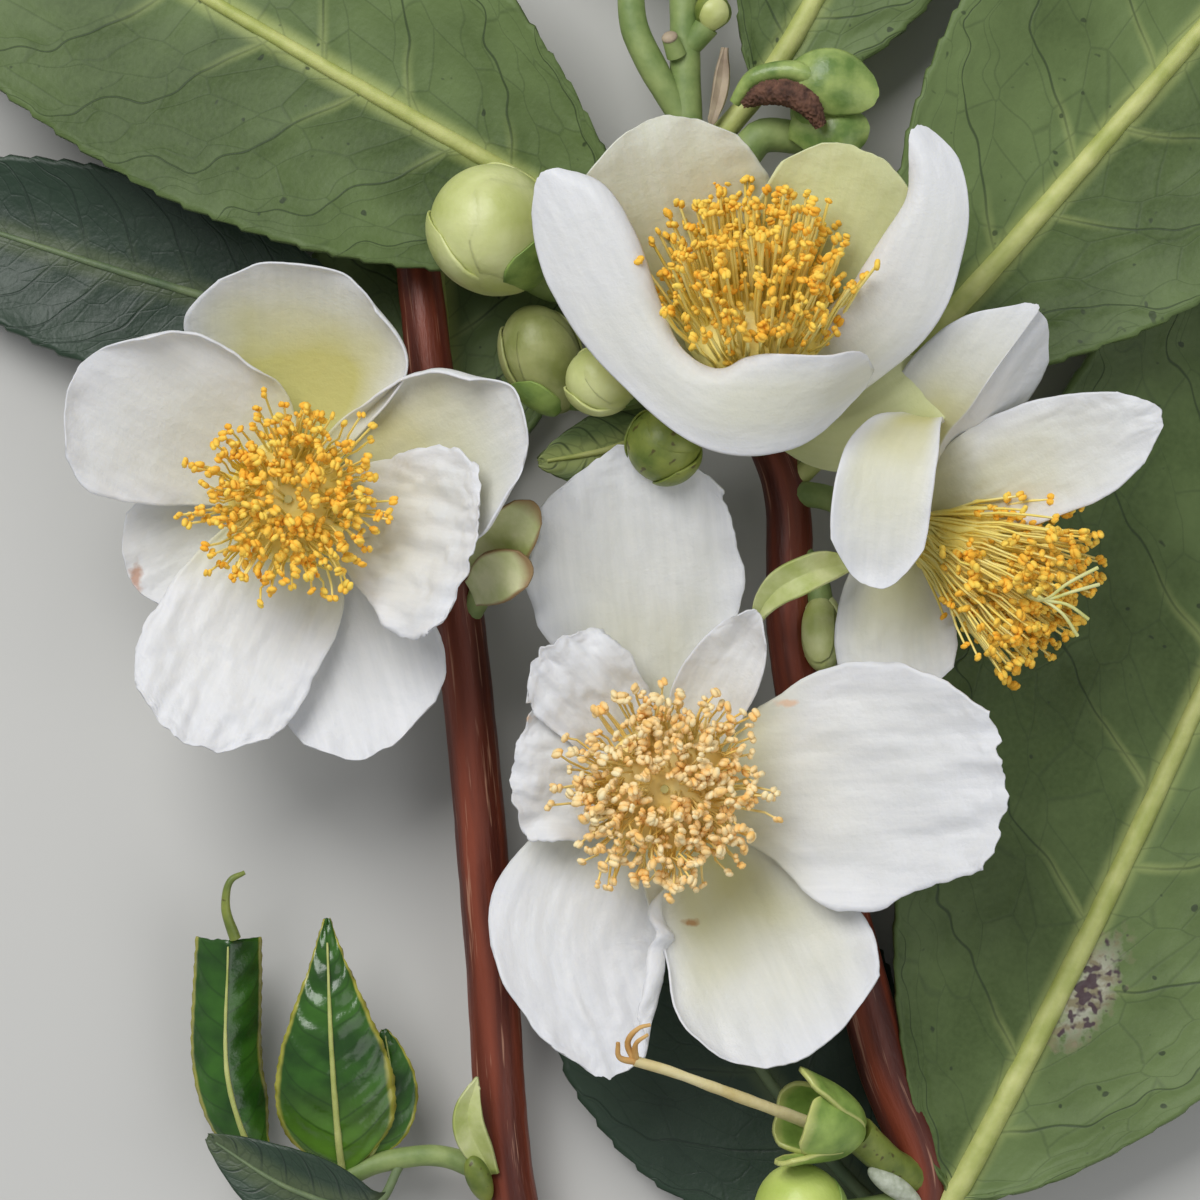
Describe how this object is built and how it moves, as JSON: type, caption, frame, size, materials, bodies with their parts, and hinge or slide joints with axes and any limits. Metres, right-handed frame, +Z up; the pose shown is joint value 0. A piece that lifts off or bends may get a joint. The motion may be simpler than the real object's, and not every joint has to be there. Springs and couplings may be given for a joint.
{
  "type": "cut flowering tea branch",
  "caption": "Cut flowering tea branch lying down: a forked twig with broad leaves, white open blooms, round buds and a spent flower.",
  "frame": {"origin": "under the middle of the branch, on the surface that it lies on", "axes": "+Y along the branch from its cut end to its shoot tips, +X across it, +Z up, the way the blooms face"},
  "size_m": [0.162, 0.1946, 0.0357],
  "materials": {
    "bark": "smooth young red-brown bark with pale streaks, satin",
    "green_stem": "green shoot, satin",
    "leaf_under": "leaf underside with a raised yellow-green midrib and net veins, matt",
    "leaf_upper": "dark leathery leaf upper side, semi-gloss",
    "young_leaf": "young leaf with yellow toothed margins, glossy",
    "petal": "white petal, cream towards its base, satin",
    "stamens": "golden anthers on pale yellow filaments, powdery",
    "old_stamens": "older peach anthers on pale filaments, powdery",
    "calyx": "green calyx scales and stalk, satin",
    "bud": "pale yellow-green bud scales, satin",
    "green_bud": "small green bud with dark spots, satin",
    "fruit": "apple-green round bud, smooth satin",
    "style": "dry cream style with tan curled lobes, matt"
  },
  "bodies": {
    "root": {"dark_left_leaf": "leaf_upper", "edge_bud": "green_bud", "green_bud": "green_bud", "green_fruit": "fruit", "grey_leaf": "leaf_under", "large_bud": "bud", "left_bloom_calyx": "calyx", "left_bloom_petals": "petal", "left_bloom_stamens": "stamens", "left_stem": "bark", "left_stem_bud": "green_bud", "left_stem_foot": "bark", "lower_bloom_calyx": "calyx", "lower_bloom_petals": "petal", "lower_bloom_stamens": "old_stamens", "lower_right_leaf": "leaf_under", "main_stem": "bark", "notched_bud": "calyx", "open_calyx": "calyx", "pale_bud": "bud", "right_bloom_calyx": "calyx", "right_bloom_petals": "petal", "right_bloom_stamens": "stamens", "right_stem": "bark", "right_stem_foot": "bark", "second_bud": "bud", "shoot_leaf_left": "young_leaf", "shoot_leaf_right": "young_leaf", "side_shoot": "green_stem", "side_shoot_bud": "bud", "slate_leaf": "leaf_upper", "small_bud": "bud", "small_leaf": "leaf_under", "spent_calyx": "calyx", "spent_style": "style", "top_bloom_calyx": "calyx", "top_bloom_petals": "petal", "top_bloom_stamens": "stamens", "top_centre_leaf": "leaf_under", "top_left_leaf": "leaf_under", "top_right_leaf": "leaf_under", "top_shoot": "green_stem", "upper_stem": "bark", "young_leaf_left": "young_leaf", "young_leaf_low": "leaf_upper", "young_leaf_middle": "young_leaf", "young_shoot": "green_stem"}
  },
  "joints": []
}
